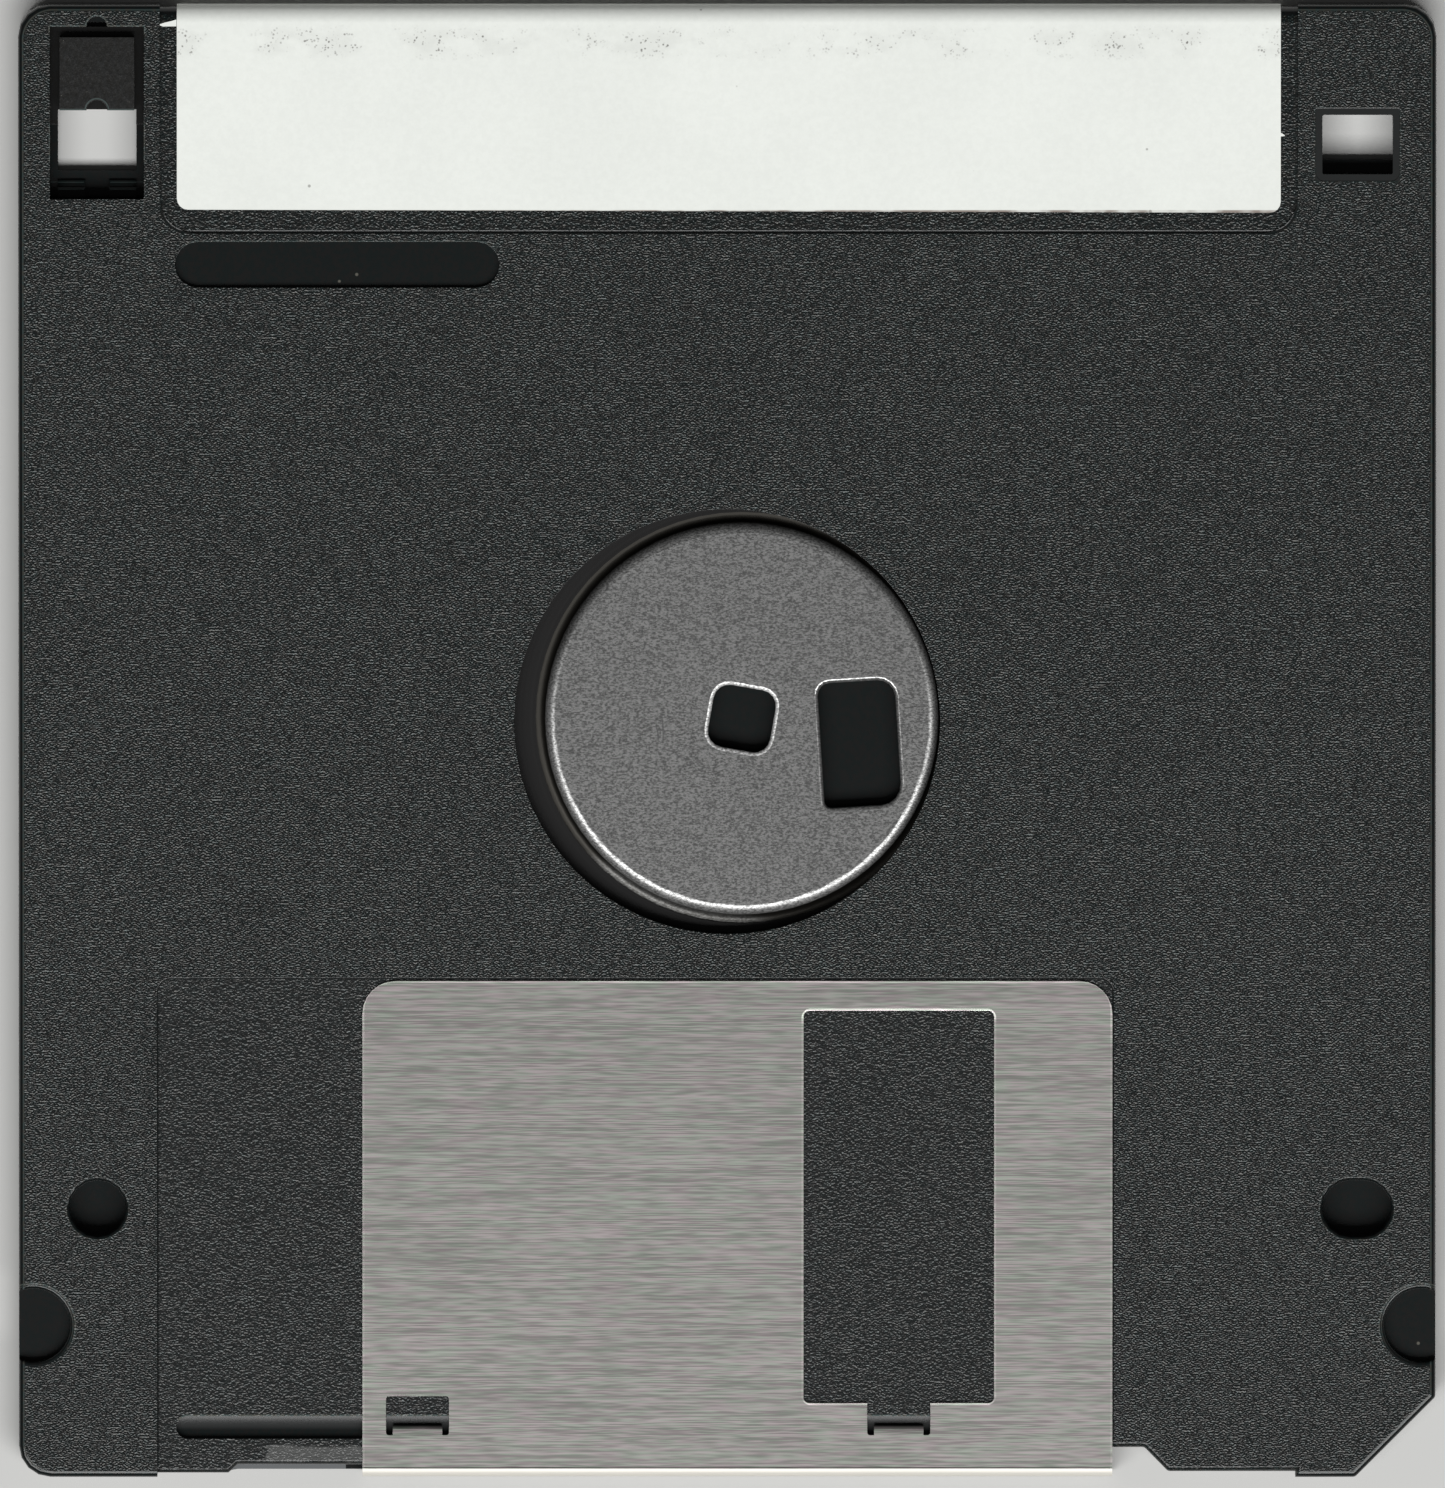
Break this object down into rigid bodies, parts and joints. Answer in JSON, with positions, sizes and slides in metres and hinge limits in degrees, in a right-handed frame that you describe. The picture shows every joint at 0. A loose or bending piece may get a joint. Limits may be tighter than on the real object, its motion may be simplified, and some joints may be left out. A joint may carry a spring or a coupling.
{
  "type": "floppy disk cartridge",
  "caption": "Flat square cartridge with a round metal hub, a sprung sliding metal shutter folded over one end, a write-protect slide and a blank paper label over the other end.",
  "frame": {"origin": "centre of the bounding box, on the label-side face that the cartridge lies on", "axes": "+X to the right as the hub side is looked at with the label end up, +Y from the shutter to the label end, +Z out of the hub side"},
  "size_m": [0.09, 0.0936, 0.0033],
  "materials": {
    "black_textured_plastic": "fine spark-eroded grain",
    "black_slide_plastic": "matte",
    "brushed_shutter_steel": "brushed along the length",
    "matte_hub_steel": "dull rolled",
    "spring_wire": "drawn wire",
    "label_paper": "matte coated",
    "brown_film_coating": "smooth satin",
    "white_liner_cloth": "soft non-woven",
    "clear_adhesive": "tacky",
    "lifter_film": "translucent"
  },
  "bodies": {
    "case": {"hub_side_shell": "black_textured_plastic", "label_side_shell": "black_textured_plastic", "label": "label_paper", "hub_side_liner": "white_liner_cloth", "label_side_liner": "white_liner_cloth", "liner_lifter": "lifter_film", "shutter_spring": "spring_wire"},
    "shutter": {"shutter": "brushed_shutter_steel"},
    "rotor": {"drive_hub": "matte_hub_steel", "magnetic_film": "brown_film_coating", "hub_adhesive_ring": "clear_adhesive"},
    "tab": {"write_protect_tab": "black_slide_plastic"}
  },
  "joints": [
    {"name": "shutter_slide", "type": "slide", "parent": "case", "child": "shutter", "axis": [-1, 0, 0], "range_m": [0, 0.0125], "stiffness_N_per_m": 40, "springref_m": -0.0075, "deforming": ["shutter_spring"]},
    {"name": "hub_spin", "type": "hinge", "parent": "case", "child": "rotor", "pos_m": [0.00093, 0.00142, 0], "axis": [0, 0, 1], "continuous": true},
    {"name": "tab_slide", "type": "slide", "parent": "case", "child": "tab", "axis": [0, -1, 0], "range_m": [0, 0.0042]}
  ]
}
